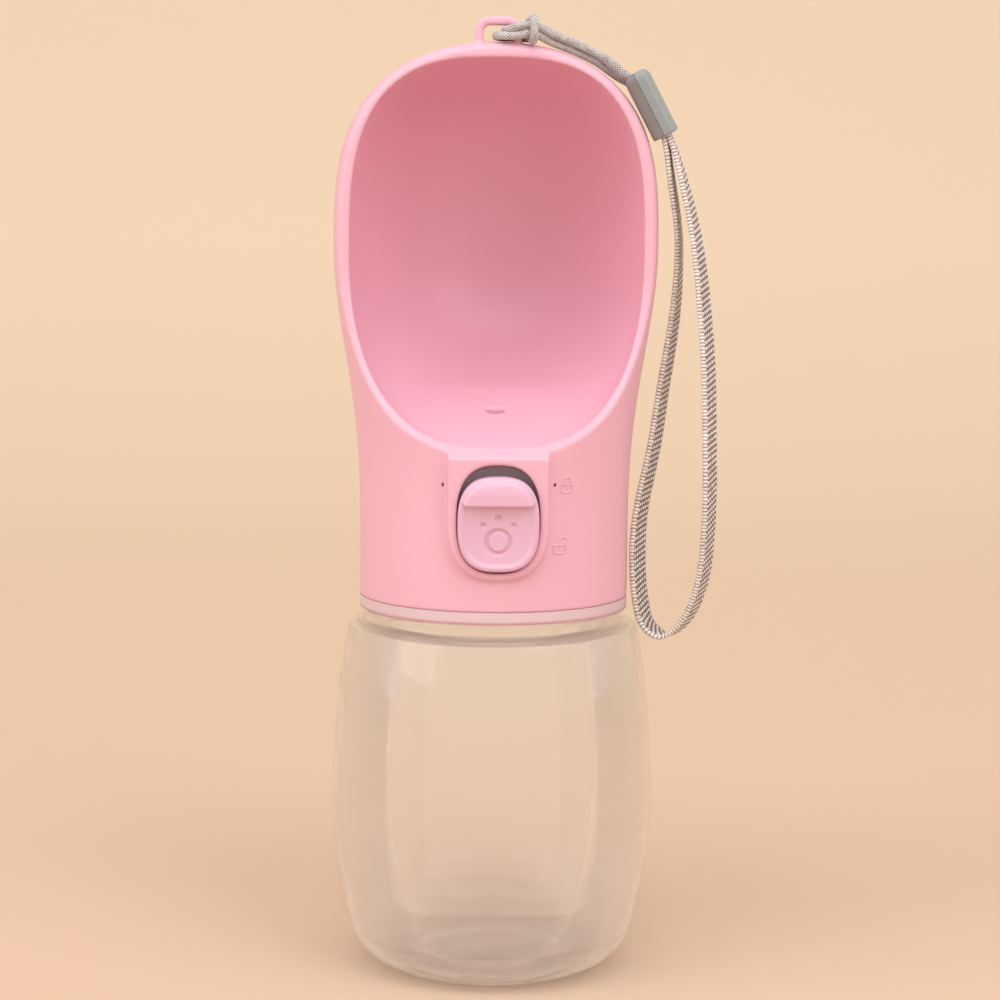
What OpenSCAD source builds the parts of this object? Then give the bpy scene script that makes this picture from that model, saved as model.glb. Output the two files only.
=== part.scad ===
// Dog travel water bottle: a clear bottle under a screw-on head. The head carries a scoop
// cup, a press-to-pour valve, a button that slides up to lock, and a wrist lanyard.
// Millimetres. +Z is up, the cup opens towards -Y, the origin is the middle of the base.

/* [Bottle] */
// Largest radius of the bottle
belly_r = 36.2; // [34:0.1:38]
// Height of the largest radius above the base
belly_z = 38; // [32:1:44]
// Side curve radius above the belly
upper_curve = 212; // [180:1:300]
// Side curve radius below the belly
lower_curve = 105; // [95:1:150]
// Fillet between the side and the foot
foot_fillet = 12; // [8:0.5:14]
// Height of the shoulder's top face
shoulder_z = 79; // [74:1:90]
// Corner radius of the shoulder
shoulder_fillet = 2.5; // [1.5:0.1:4]
// Wall of the bottle
bottle_wall = 1.8; // [1.2:0.1:2.4]
// Height of the push-up in the middle of the base
push_up = 3.4; // [2:0.1:5]
// Width of the flat ring that the bottle stands on
foot_ring_w = 1.4; // [1:0.1:4]

/* [Neck] */
// Radius of the collar below the head
collar_r = 29.2; // [27:0.1:29.6]
// Height of that collar
collar_h = 2.5; // [1.5:0.1:4]
// Outer radius of the neck
neck_r = 25.6; // [24:0.1:25.8]
// Wall of the neck
neck_wall = 2.2; // [1.6:0.1:3]
// Height of the neck above the shoulder
neck_h = 9.2; // [8:0.1:9.6]

/* [Head shell] */
// Radius of the skirt
skirt_r = 30; // [29.5:0.1:32]
// Wall of the skirt
skirt_wall = 1.8; // [1.2:0.1:2.2]
// Height of the head from the skirt's edge to the top of the dome
head_h = 122.2; // [116:0.5:130]
// Largest radius of the head
head_r = 36; // [34:0.1:38]
// Height from the skirt's edge to the largest radius
head_belly_h = 77.6; // [74:0.5:82]
// Height from the skirt's edge to the start of the flare
flare_h = 11.6; // [8:0.5:14]
// Depth of the upper rim in front of the axis
rim_y = 9; // [6:0.5:12]
// Radius of the curve that the rim follows down to the front
rim_curve = 48; // [46:0.5:52]

/* [Cup] */
// Half width of the cup's mouth
cup_w = 32.3; // [30:0.1:33]
// Height from the skirt's edge to the cup's front lip
cup_lip_h = 35.4; // [34.5:0.1:37]
// Thickness of the cup's back and top walls
cup_wall = 2.2; // [1.8:0.1:3]
// Depth of the top wall of the cup
cup_top_wall = 3.7; // [3:0.1:5]
// Slope of the cup's floor in degrees
floor_slope = 15; // [10:1:18]
// Radius of the sweep from the floor up to the back wall
floor_curve = 26; // [20:1:30]
// Radius of the outlet in the floor
outlet_r = 2; // [1.2:0.1:2.4]
// Depth of the outlet in front of the axis
outlet_y = 5; // [3:0.5:7]

/* [Button] */
// Width of the window
window_w = 17.8; // [16:0.1:18.4]
// Height of the window
window_h = 23.2; // [21:0.1:24]
// Squareness of the window's outline, where 2 is an ellipse
window_power = 2.6; // [2.2:0.1:5]
// Height from the skirt's edge to the middle of the window
window_mid_h = 20.2; // [19:0.1:21]
// Width of the raised frame round the window
frame_w = 21.7; // [21:0.1:23]
// How far the frame stands out of the skirt
frame_proud = 1; // [0.6:0.1:1.6]
// Gap round the button in its window
button_gap = 0.2; // [0.15:0.05:0.4]
// Upward travel of the button from open to locked
lock_travel = 2; // [1.5:0.1:2.5]
// Inward travel of the button
press_travel = 3; // [2:0.1:3.4]
// How far the button's pad stands out of the frame
button_proud = 1.6; // [1:0.1:2.5]
// How far the finger ridge stands out of the pad
ridge_proud = 1.4; // [0.8:0.1:2]
// Height of the finger ridge
ridge_h = 6.2; // [4:0.1:8]
// Thickness of the grey lock plate
plate_t = 1.8; // [1.4:0.1:2.2]

/* [Valve] */
// Bore of the valve body
valve_bore_r = 5.2; // [4.8:0.1:5.4]
// Wall of the valve body
valve_wall = 1.6; // [1.2:0.1:1.8]
// Radius of the seat's opening
seat_r = 3.2; // [2.8:0.1:3.6]
// Thickness of the seat
seat_t = 2; // [1.5:0.1:2.5]
// Radius of the plunger's stem
stem_r = 1.8; // [1.4:0.1:2]
// Radial clearance of the piston and its ring
piston_gap = 0.05; // [0.02:0.01:0.1]
// Wire of the return spring
spring_wire = 0.8; // [0.6:0.1:0.9]
// Free turns of the return spring
spring_turns = 4; // [3:1:5]
// Radius of the inlet
inlet_r = 2.4; // [1.8:0.1:2.8]

/* [Lanyard] */
// Half width of the lug on the dome
lug_half_w = 5.15; // [4.6:0.05:6]
// Thickness of the lug's arch
lug_wall = 1.9; // [1.6:0.1:2.4]
// Depth of the lug from front to back
lug_t = 3; // [2:0.1:4]
// Height of the lug above the dome
lug_h = 5.2; // [4.8:0.1:6]
// Diameter of the cord where the knot squeezes it
cord_d = 1.5; // [1.2:0.1:1.6]
// Width of the webbing
webbing_w = 6.5; // [5:0.1:7]
// Thickness of the webbing
webbing_t = 1.1; // [0.8:0.1:1.2]
// Length of the slider
slider_l = 15.6; // [13:0.1:17]
// Wall of the slider beside the webbing
slider_wall = 1.2; // [0.8:0.1:1.4]

/* [Hidden] */
$fn = 64;

// Small allowances
fit = 0.1;          // between pieces of one body
run = 0.05;         // between flat faces that turn or slide past each other
clear = 0.3;        // between soft pieces and what is next to them
past = 1;           // how far a cutter runs past what it cuts

// Heights that the stack of pieces sets
collar_z = shoulder_z + collar_h;
neck_z = shoulder_z + neck_h;
flange_z = collar_z + clear;
flange_h = 2.6;
skirt_z = flange_z + flange_h;
gasket_h = 1.4;
deck_z = neck_z + 2 * run + gasket_h;
deck_t = 1.8;
deck_top = deck_z + deck_t;
head_top = skirt_z + head_h;
head_belly = skirt_z + head_belly_h;
window_z = skirt_z + window_mid_h;
lip_z = skirt_z + cup_lip_h;
insert_r = skirt_r - skirt_wall - fit;
insert_bore = neck_r + 0.5;
shoulder_turn = 18;   // degrees left out between the wall's curve and the shoulder's fillet

// Valve, on an axis along Y through the middle of the window
inlet_gasket_h = 0.8;
inlet_flange_h = 1.6;
valve_r = valve_bore_r + valve_wall;
valve_z = window_z;
valve_front = -17;
seat_y = 1.5;
plug_l = 3;
rear_y = seat_y + seat_t + press_travel + plug_l + 4;
plug_t = 1.6;
disc_t = 1.6;
inlet_y = rear_y - plug_l - inlet_r - 0.2;
inlet_stub_r = inlet_r + 1.6;
outlet_stub_r = outlet_r + 1.5;
outlet_stub_h = valve_r + 7;
outlet_gasket_h = 3;
socket_gap = 1.4;   // between the outlet's stub and the socket under the cup
piston_front = valve_front + 1;
piston_l = 5;
groove_r = valve_bore_r - 1.3;
groove_w = 1.6;
stem_socket_l = 4;

// Front of the head, as depths in front of the axis
frame_y = -(skirt_r + frame_proud);
pocket_y = frame_y + 2.4;
plate_y = pocket_y + run + 0.1;
plate_back = plate_y + plate_t;
plate_w = window_w + 1.2;
plate_h = window_h + 1.6;
pocket_w = plate_w + 0.5;
pocket_h = plate_h + 0.6;
cap_w = window_w - 2 * button_gap;
cap_z0 = window_z - window_h / 2 + 0.5;
cap_z1 = window_z + window_h / 2 - 0.4 - lock_travel;
pad_y = frame_y - button_proud;
frame_margin = 1.6;   // of the frame below the window
paw_r = 2.8;
paw_depth = 0.9;
paw_spread = 5.1;
paw_z = window_z - 4.7;
toe_r = 0.8;
key_h = 2;
key_t = 1.2;
side_key_x = cap_w / 2 - 0.85;
// The keys that hold the cap on the lock plate: place across, height, width, width of its head
keys = [[0, cap_z0 + 0.4, 8, 10.5], [-side_key_x, window_z - 3, 1.1, 2],
    [side_key_x, window_z - 3, 1.1, 2]];

// Floor of the cup in side view: a slope, an arc and the back wall
cup_back = head_r - cup_wall;
rim_mid_z = head_belly - 4;
lip_y = -(rim_y + rim_curve) + sqrt(pow(rim_curve, 2) - pow(rim_mid_z - lip_z, 2));
floor_arc_y = cup_back - floor_curve;
floor_arc_z = lip_z + (floor_arc_y - lip_y) * tan(floor_slope) + floor_curve / cos(floor_slope);
floor_bend_z = floor_arc_z - floor_curve * cos(floor_slope);
cup_mid_z = head_belly - 1;
rim_land = 0.4;     // straight part of the cup's sides behind the rim
cup_top_z = head_top - cup_top_wall;
lug_y = -6;
function floor_z(y) = lip_z + (y - lip_y) * tan(floor_slope);

// Screws
screw_r = 1.3;
screw_head_r = 2.3;
screw_head_h = 1.4;
disc_screw_r = 0.8;
boss_r = 3.2;
boss_h = 45;
insert_screw_l = 9;
valve_screw_l = 7.5;
insert_screw_r = 19.5;
insert_screw_angles = [20, 160, 90];
valve_ear_x = 12.5;
valve_ear_y = 1;
valve_ear_r = 3.2;
valve_ear_t = 2;
valve_ear_z = valve_z + 2.5;

// ---------------------------------------------------------------- shared shapes

function arc_pts(c, r, a0, a1, n) =
    [for (i = [0:n]) let (a = a0 + (a1 - a0) * i / n) [c[0] + r * cos(a), c[1] + r * sin(a)]];

function round_rect_pts(w, h, r, n = 6) = concat(
    arc_pts([w / 2 - r, h / 2 - r], r, 0, 90, n),
    arc_pts([r - w / 2, h / 2 - r], r, 90, 180, n),
    arc_pts([r - w / 2, r - h / 2], r, 180, 270, n),
    arc_pts([w / 2 - r, r - h / 2], r, 270, 360, n));

// A squared ellipse
function squircle_pts(w, h, power, n = 10) = [for (i = [0:4 * n - 1]) let (a = 90 * i / n)
    [w / 2 * sign(cos(a)) * pow(abs(cos(a)), 2 / power),
    h / 2 * sign(sin(a)) * pow(abs(sin(a)), 2 / power)]];

// A flat outline in X and Z, drawn out along Y from y0 to y1
module along_y(y0, y1) {
    translate([0, y1, 0]) rotate([90, 0, 0]) linear_extrude(y1 - y0) children();
}

// A flat outline in Y and Z, drawn out along X over the whole width w
module along_x(w) {
    translate([-w / 2, 0, 0]) rotate([90, 0, 90]) linear_extrude(w) children();
}

// A round bar along Y
module y_bar(r, y0, y1) {
    translate([0, y0, 0]) rotate([-90, 0, 0]) cylinder(r = r, h = y1 - y0);
}

// A groove round the Y axis, from radius groove_r outwards
module y_groove(y) {
    difference() {
        y_bar(valve_bore_r + past, y - groove_w / 2, y + groove_w / 2);
        y_bar(groove_r, y - groove_w, y + groove_w);
    }
}

// The rubber ring in such a groove
module y_ring(y) {
    wire = (valve_bore_r - piston_gap - groove_r) / 2 - 0.03;
    translate([0, y, 0]) rotate([-90, 0, 0]) rotate_extrude()
        translate([groove_r + wire + 0.03, 0]) circle(wire, $fn = 24);
}

// Joins rings of equal length into one closed skin, with a fan on each end
module skin(rings) {
    n = len(rings[0]);
    last = len(rings) - 1;
    sides = [for (i = [0:last - 1], j = [0:n - 1]) let (k = (j + 1) % n)
        each [[i * n + j, i * n + k, (i + 1) * n + k], [i * n + j, (i + 1) * n + k, (i + 1) * n + j]]];
    start = [for (j = [1:n - 2]) [0, j + 1, j]];
    end = [for (j = [1:n - 2]) [last * n, last * n + j, last * n + j + 1]];
    polyhedron(points = [for (ring = rings) each ring], faces = concat(sides, start, end));
}

// ---------------------------------------------------------------- bottle

// Height and radius where the foot's fillet meets the curve below the belly
function foot_mid() =
    belly_r - lower_curve + sqrt(pow(lower_curve - foot_fillet, 2) - pow(belly_z - foot_fillet, 2));
function foot_angle() = atan2(belly_z - foot_fillet, foot_mid() - belly_r + lower_curve);
function corner_r() = belly_r - upper_curve
    + sqrt(pow(upper_curve - shoulder_fillet, 2) - pow(shoulder_z - shoulder_fillet - belly_z, 2));
function corner_angle() =
    atan2(shoulder_z - shoulder_fillet - belly_z, corner_r() - belly_r + upper_curve);

// The side of the bottle from the foot to the shoulder, moved inwards by inset
function bottle_side(inset) = concat(
    arc_pts([foot_mid(), foot_fillet], foot_fillet - inset, -90, -foot_angle(), 6),
    arc_pts([belly_r - lower_curve, belly_z], lower_curve - inset, -foot_angle() * 4 / 5, 0, 4),
    arc_pts([belly_r - upper_curve, belly_z], upper_curve - inset, corner_angle() / 8,
        corner_angle(), 7),
    arc_pts([corner_r(), shoulder_z - shoulder_fillet], shoulder_fillet - inset,
        corner_angle() + shoulder_turn, 90, 4));

module bottle() {
    neck_in = neck_r - neck_wall;
    push_up_r = foot_mid() - foot_ring_w;
    collar = min(collar_r, corner_r() - bottle_wall);
    outside = concat(
        [[0, push_up], [push_up_r - 3.5, push_up * 0.55], [push_up_r - 0.6, 0.4], [push_up_r, 0]],
        bottle_side(0),
        [[collar, shoulder_z], [collar, collar_z], [neck_r, collar_z], [neck_r, neck_z]]);
    inside = concat(
        [[0, push_up + bottle_wall], [push_up_r - 3.5, push_up * 0.55 + bottle_wall]],
        bottle_side(bottle_wall),
        [[neck_in, shoulder_z - bottle_wall], [neck_in, neck_z]]);
    color("lightcyan", 0.4)
        rotate_extrude() polygon(concat(outside, [for (i = [len(inside) - 1:-1:0]) inside[i]]));
}

module neck_gasket() {
    color("white") translate([0, 0, neck_z + run])
        difference() {
            cylinder(r = neck_r, h = gasket_h);
            translate([0, 0, -past]) cylinder(r = neck_r - neck_wall, h = gasket_h + 2 * past);
        }
}

// ---------------------------------------------------------------- threaded insert

module at_insert_screws() {
    for (a = insert_screw_angles) rotate([0, 0, a]) translate([insert_screw_r, 0, 0]) children();
}

module threaded_insert() {
    color("mistyrose")
        difference() {
            union() {
                translate([0, 0, flange_z]) cylinder(r = skirt_r, h = flange_h);
                translate([0, 0, flange_z]) cylinder(r = insert_r, h = deck_top - flange_z);
            }
            translate([0, 0, flange_z - past])
                cylinder(r = insert_bore, h = deck_z - flange_z + past);
            translate([0, inlet_y, deck_z - past])
                cylinder(r = inlet_stub_r + fit, h = deck_t + 2 * past);
            translate([0, 0, deck_z - past]) at_insert_screws()
                cylinder(r = screw_r + fit, h = deck_t + 2 * past);
        }
}

// A pan-head screw that points up, its head's face at z = 0
module screw_up(length) {
    translate([0, 0, -screw_head_h]) cylinder(r = screw_head_r, h = screw_head_h);
    translate([0, 0, -fit]) cylinder(r = screw_r, h = length + fit);
}

module insert_screws() {
    color("silver") translate([0, 0, deck_z]) at_insert_screws() screw_up(insert_screw_l);
}

// ---------------------------------------------------------------- head shell

// Outer radius of the head at height z, from the skirt to its largest girth
function flare_r(z) = let (t = max(0, (z - skirt_z - flare_h) / (head_belly_h - flare_h)))
    skirt_r + (head_r - skirt_r) * (0.5 - 0.5 * cos(180 * pow(t, 1.4)));
// Point of the dome at angle a, from the largest girth (0) to the top (90)
function dome_pt(a, inset) = [(head_r - inset) * pow(cos(a), 2 / 2.2),
    head_belly + (head_top - head_belly - inset) * pow(sin(a), 2 / 3)];

function head_profile(inset, z_low) = concat(
    [[0, z_low], [skirt_r - inset, z_low]],
    [for (i = [0:11]) let (z = skirt_z + flare_h + (head_belly_h - flare_h) * i / 12)
        [flare_r(z) - inset, z]],
    [for (a = [0:6:84]) dome_pt(a, inset)],
    [[0, head_top - inset]]);

module head_body(inset, z_low) {
    rotate_extrude() polygon(head_profile(inset, z_low));
}

// Takes away all that is in front of the rim
module in_front_of_rim() {
    translate([-50, -(rim_y + rim_curve), rim_mid_z])
        rotate([0, 90, 0]) cylinder(r = rim_curve, h = 100, $fn = 96);
    translate([-50, -60, rim_mid_z]) cube([100, 60 - rim_y, 80]);
}

// The hollow of the cup: level slices, each as wide as the mouth at the rim and closed by
// a blunt curve that reaches the floor or the back wall
function rim_y_at(z) = z > rim_mid_z ? -rim_y
    : -(rim_y + rim_curve) + sqrt(pow(rim_curve, 2) - pow(rim_mid_z - z, 2));
function mouth_half(z) = cup_w * (z < cup_mid_z
    ? pow(1 - pow((cup_mid_z - z) / (cup_mid_z - lip_z), 2.25), 1 / 2.8)
    : pow(1 - pow((z - cup_mid_z) / (cup_top_z - cup_mid_z), 3), 1 / 2.8));
function back_y(z) = z < floor_bend_z ? lip_y + (z - lip_z) / tan(floor_slope)
    : z < floor_arc_z ? floor_arc_y + sqrt(pow(floor_curve, 2) - pow(floor_arc_z - z, 2))
    : z < head_belly ? cup_back
    : -rim_y + (cup_back + rim_y) * mouth_half(z) / cup_w;
function cup_slice(z) = let (w = mouth_half(z), y0 = rim_y_at(z) + rim_land, depth = back_y(z) - y0)
    concat([[w, -45, z], [-w, -45, z]],
        [for (a = [180:-10:0]) [w * sign(cos(a)) * pow(abs(cos(a)), 2 / 2.3),
            y0 + depth * pow(sin(a), 2 / 2.3), z]]);

module cup_hollow() {
    low = [for (i = [0:12]) lip_z + (cup_mid_z - lip_z) * pow((i + 1.2) / 14.2, 1.8)];
    high = [for (i = [1:10]) cup_top_z - (cup_top_z - cup_mid_z) * pow(1 - i / 11, 2)];
    skin([for (z = concat(low, high)) cup_slice(z)]);
}

// The dry space under the cup, for the valve, and the pocket for the lock plate
module under_cup() {
    ceiling = 2.6;
    intersection() {
        head_body(skirt_wall, skirt_z - past);
        along_x(90) polygon([
            [-40, skirt_z - past], [40, skirt_z - past], [40, floor_bend_z + 8],
            [cup_back - 4.3, floor_bend_z + 7], [24, floor_bend_z + 1.9],
            [14.5, floor_z(14.5) - ceiling], [pocket_y, floor_z(pocket_y) - ceiling],
            [-40, floor_z(pocket_y) - ceiling]]);
    }
    translate([0, 0, window_z]) along_y(pocket_y, pocket_y + 7)
        polygon(squircle_pts(pocket_w, pocket_h, window_power));
}

module lug() {
    h = 14;
    translate([0, lug_y - lug_t / 2, head_top + lug_h - h / 2])
        along_y(0, lug_t)
            difference() {
                polygon(round_rect_pts(2 * lug_half_w, h, 3.4));
                polygon(round_rect_pts(2 * (lug_half_w - lug_wall), h - 2 * lug_wall, 1.7));
            }
}

module head_bosses() {
    intersection() {
        union() {
            translate([0, 0, deck_top]) at_insert_screws() cylinder(r = boss_r, h = boss_h);
            for (x = [-valve_ear_x, valve_ear_x])
                translate([x, valve_ear_y, valve_ear_z + valve_ear_t])
                    cylinder(r = boss_r, h = 25);
            translate([0, -outlet_y, valve_z + valve_r + 6])
                cylinder(r = outlet_stub_r + 3.2, h = 20);
        }
        along_x(90) polygon([
            [-40, skirt_z], [40, skirt_z], [40, floor_z(14.5) + 3], [24, floor_z(24) + 1],
            [14.5, floor_z(14.5) - 1], [-26, floor_z(-26) - 1], [-40, floor_z(-26) - 1]]);
    }
}

// Straight sides above the window's middle, half a squared ellipse below it
module frame_outline() {
    up = cup_lip_h + 15 - window_mid_h;
    round_part = squircle_pts(frame_w, window_h + 2 * frame_margin, window_power);
    polygon(concat([[frame_w / 2, 0], [frame_w / 2, up], [-frame_w / 2, up], [-frame_w / 2, 0]],
        [for (p = round_part) if (p[1] < -0.01) p]));
}

module screw_hole(length) {
    translate([0, 0, -past]) cylinder(r = screw_r + fit / 2, h = length + past);
}

module head_shell() {
    color("pink")
        difference() {
            union() {
                difference() {
                    union() {
                        head_body(0, skirt_z);
                        translate([0, 0, window_z]) along_y(frame_y, -25) frame_outline();
                        lug();
                    }
                    under_cup();
                }
                head_bosses();
            }
            cup_hollow();
            in_front_of_rim();
            translate([0, 0, window_z]) along_y(frame_y - past, pocket_y + past)
                polygon(squircle_pts(window_w, window_h, window_power));
            translate([0, -outlet_y, valve_z]) cylinder(r = outlet_r, h = 40);
            translate([0, -outlet_y, valve_z])
                cylinder(r = outlet_stub_r + socket_gap, h = outlet_stub_h + outlet_gasket_h);
            translate([0, 0, deck_top]) at_insert_screws() screw_hole(insert_screw_l);
            for (x = [-valve_ear_x, valve_ear_x])
                translate([x, valve_ear_y, valve_ear_z]) screw_hole(valve_screw_l + 1.5);
        }
}

// ---------------------------------------------------------------- valve

module outlet_gasket() {
    color("white") translate([0, -outlet_y, valve_z + outlet_stub_h])
        difference() {
            cylinder(r = outlet_stub_r + socket_gap - fit / 2, h = outlet_gasket_h - fit);
            translate([0, 0, -past]) cylinder(r = outlet_r, h = outlet_gasket_h + 2 * past);
        }
}

module valve_body() {
    color("whitesmoke")
        difference() {
            union() {
                translate([0, 0, valve_z]) y_bar(valve_r, valve_front, rear_y);
                translate([0, -outlet_y, valve_z]) cylinder(r = outlet_stub_r, h = outlet_stub_h);
                translate([0, inlet_y, deck_z]) cylinder(r = inlet_stub_r, h = valve_z - deck_z);
                translate([0, inlet_y, deck_top + inlet_gasket_h])
                    cylinder(r = inlet_stub_r + 2, h = inlet_flange_h);
                translate([0, 0, valve_ear_z]) linear_extrude(valve_ear_t)
                    for (x = [-valve_ear_x, valve_ear_x])
                        translate([x, valve_ear_y]) circle(valve_ear_r);
                translate([-valve_ear_x, valve_ear_y - 2, valve_ear_z])
                    cube([2 * valve_ear_x, 4, valve_ear_t]);
            }
            translate([0, 0, valve_z]) {
                y_bar(valve_bore_r, valve_front - past, seat_y);
                y_bar(seat_r, seat_y - past, seat_y + seat_t + past);
                y_bar(valve_bore_r, seat_y + seat_t, rear_y + past);
            }
            translate([0, -outlet_y, valve_z]) cylinder(r = outlet_r, h = outlet_stub_h + past);
            translate([0, inlet_y, deck_z - past]) cylinder(r = inlet_r, h = valve_z - deck_z);
            for (x = [-valve_ear_x, valve_ear_x])
                translate([x, valve_ear_y, valve_ear_z - past])
                    cylinder(r = screw_r + fit, h = valve_ear_t + 2 * past);
        }
}

module valve_screws() {
    color("silver")
        for (x = [-valve_ear_x, valve_ear_x])
            translate([x, valve_ear_y, valve_ear_z]) screw_up(valve_screw_l);
}

module inlet_gasket() {
    color("white") translate([0, inlet_y, deck_top])
        difference() {
            cylinder(r = inlet_stub_r + 2, h = inlet_gasket_h - fit);
            translate([0, 0, -past]) cylinder(r = inlet_stub_r + fit, h = 3);
        }
}

module valve_plug() {
    color("whitesmoke") translate([0, 0, valve_z])
        difference() {
            union() {
                y_bar(valve_bore_r - fit / 2, rear_y - plug_l, rear_y);
                y_bar(valve_r, rear_y, rear_y + plug_t);
            }
            y_groove(rear_y - plug_l / 2);
        }
}

module plug_oring() {
    color("dimgray") translate([0, 0, valve_z]) y_ring(rear_y - plug_l / 2);
}

// ---------------------------------------------------------------- button group

module lock_plate() {
    color("dimgray")
        difference() {
            union() {
                translate([0, 0, window_z]) along_y(plate_y, plate_back)
                    polygon(squircle_pts(plate_w, plate_h, window_power));
                translate([0, 0, valve_z])
                    y_bar(stem_r + 1.2, plate_back - fit, plate_back + stem_socket_l);
            }
            for (key = keys)
                translate([key[0] - key[2] / 2 - 0.25, plate_y - past, key[1] - 0.25])
                    cube([key[2] + 0.5, plate_t + 2 * past, key_h + lock_travel + 0.5]);
            translate([0, 0, valve_z])
                y_bar(stem_r, plate_back + 0.5, plate_back + stem_socket_l + past);
        }
}

module button_cap() {
    h = cap_z1 - cap_z0;
    mid = (cap_z0 + cap_z1) / 2;
    rib = cap_z1 - ridge_h;
    back = plate_y - 0.1;
    color("hotpink") {
        difference() {
            intersection() {
                translate([0, 0, mid]) along_y(pad_y - 5, back)
                    polygon(squircle_pts(cap_w, h, window_power));
                along_x(30) polygon([
                    [back, cap_z0 - past], [pad_y + 0.6, cap_z0 - past], [pad_y, cap_z0 + 1.5],
                    [pad_y + 0.5, (cap_z0 + rib) / 2], [pad_y, rib - 0.4],
                    [pad_y - ridge_proud, rib + 0.4], [pad_y - ridge_proud, cap_z1 - 1.4],
                    [pad_y - ridge_proud + 1.2, cap_z1 + 0.1], [back, cap_z1 + 0.1]]);
            }
            for (a = [-40, 0, 40])
                translate([paw_spread * sin(a), 0, paw_z + paw_spread * cos(a)])
                    y_bar(toe_r, pad_y - past, pad_y + paw_depth);
            translate([0, 0, paw_z])
                difference() {
                    y_bar(paw_r, pad_y - past, pad_y + paw_depth);
                    y_bar(paw_r - 0.7, pad_y - 2 * past, pad_y + past);
                }
        }
        for (key = keys)
            translate([key[0], 0, key[1]]) {
                translate([-key[2] / 2, back - fit, 0])
                    cube([key[2], plate_back - back + 0.2 + fit, key_h]);
                translate([-key[3] / 2, plate_back + 0.15, 0]) cube([key[3], key_t, key_h]);
            }
    }
}

module plunger() {
    stem_end = seat_y + seat_t + run + disc_t;
    color("gainsboro") translate([0, 0, valve_z])
        difference() {
            union() {
                y_bar(stem_r, plate_back + 0.5, stem_end - disc_t + 0.6);
                y_bar(valve_bore_r - piston_gap, piston_front, piston_front + piston_l);
            }
            y_groove(piston_front + piston_l / 2);
            y_bar(disc_screw_r + fit / 2, stem_end - 6, stem_end + past);
        }
}

module piston_oring() {
    color("dimgray") translate([0, 0, valve_z]) y_ring(piston_front + piston_l / 2);
}

module valve_disc() {
    color("white") translate([0, 0, valve_z])
        difference() {
            y_bar(valve_bore_r - 0.7, seat_y + seat_t + run, seat_y + seat_t + run + disc_t);
            y_bar(stem_r + fit / 2, seat_y, seat_y + seat_t + run + 0.6);
            y_bar(disc_screw_r + fit / 2, seat_y, rear_y);
        }
}

module disc_screw() {
    y0 = seat_y + seat_t + run + disc_t;
    color("silver") translate([0, 0, valve_z]) {
        y_bar(3, y0, y0 + 1.2);
        y_bar(disc_screw_r, y0 - 5, y0 + fit);
    }
}

// Helix round the valve's axis, between the lock plate and the front of the valve body
module return_spring() {
    r = (valve_bore_r + valve_r) / 2;
    y0 = plate_back + run + spring_wire / 2;
    y1 = valve_front - run - spring_wire / 2;
    steps = 8;
    color("silver") translate([0, 0, valve_z])
        skin([for (i = [0:steps * spring_turns]) let (
                a = 360 * i / steps, y = y0 + (y1 - y0) * i / (steps * spring_turns))
            [for (k = [0:5]) let (b = -60 * k, q = r + spring_wire / 2 * cos(b))
                [q * cos(a), y + spring_wire / 2 * sin(b), q * sin(a)]]]);
}

// ---------------------------------------------------------------- lanyard

// Route of the cord: out of the slider, through the lug, round its leg and the two
// strands, back through the lug and down to the slider
cord_route = [
    [30.8, -5.2, 197.9], [28.6, -5.2, 199.1], [26, -5.3, 201.1], [22, -5.6, 203.9],
    [18, -6.2, 205.7], [14, -7.2, 207.2], [10.4, -8.2, 208.7], [7.4, -8.7, 209.7],
    [4.6, -8.8, 209.6], [2.6, -8.6, 209], [1.6, -7.4, 208.8], [1.4, -5.8, 208.7],
    [2, -3.9, 208.8], [3.6, -3.1, 209.3], [5.6, -3.6, 210.1], [6.9, -5.4, 211],
    [7.4, -7.6, 211.5], [7.6, -9.6, 210.9], [7.6, -10.6, 209.2], [7.6, -10.3, 207.4],
    [7.5, -9, 206.5], [7.2, -7, 206.8], [6.6, -4.9, 207.2], [5, -3.3, 207.4],
    [3.2, -2.9, 207.5], [1.2, -3, 207.5], [-0.2, -4.2, 207.6], [-0.5, -6, 207.6],
    [0, -7.8, 207.6], [1.6, -8.7, 207.5], [4.2, -8.8, 207.6], [7.4, -8.7, 208],
    [10.4, -7.4, 206.8], [14, -6, 205.5], [18, -4.9, 204], [22, -3.9, 202.1],
    [25.9, -3, 199.5], [28.3, -2.9, 198.2], [30.6, -2.9, 197.3]
];

// Route of the webbing, with the direction that its width points in, in degrees from +X
webbing_route = [
    [35.2, -4, 189.1, 80], [36.5, -4, 186.6, 80], [38, -3.7, 180, 78], [39.4, -3, 172, 76],
    [40.4, -2.2, 165, 76], [40.6, -1.6, 158, 74], [40.2, -1.4, 150, 70], [39, -1.6, 140, 66],
    [37.4, -2.1, 130, 64], [35.8, -2.8, 119, 62], [34, -3.3, 110, 60], [32.6, -3.6, 102, 58],
    [32.2, -3.7, 95, 56], [32.4, -3.9, 88, 56], [33.2, -4.1, 82, 56], [35, -4.5, 77.4, 58],
    [38, -5, 75.6, 60], [41.4, -5.4, 77.2, 60], [44.4, -6, 81.6, 60], [46.2, -6.8, 87, 60],
    [47.2, -8, 95, 60], [47.5, -9.2, 104, 60], [47.4, -9.8, 114, 60], [47.2, -9.2, 124, 60],
    [46.9, -8.8, 134, 60], [46, -8.2, 146, 60], [45, -7.4, 156, 62], [43.4, -6.4, 166.5, 66],
    [41.8, -5.6, 173.5, 70], [40, -4.8, 180.4, 76], [37.5, -4.1, 187.1, 80],
    [36.1, -4.1, 189.7, 80]
];

function unit(v) = v / norm(v);
function route_dir(p, i) = unit(p[min(i + 1, len(p) - 1)] - p[max(i - 1, 0)]);
function place(q) = [q[0], q[1], q[2]];
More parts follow.
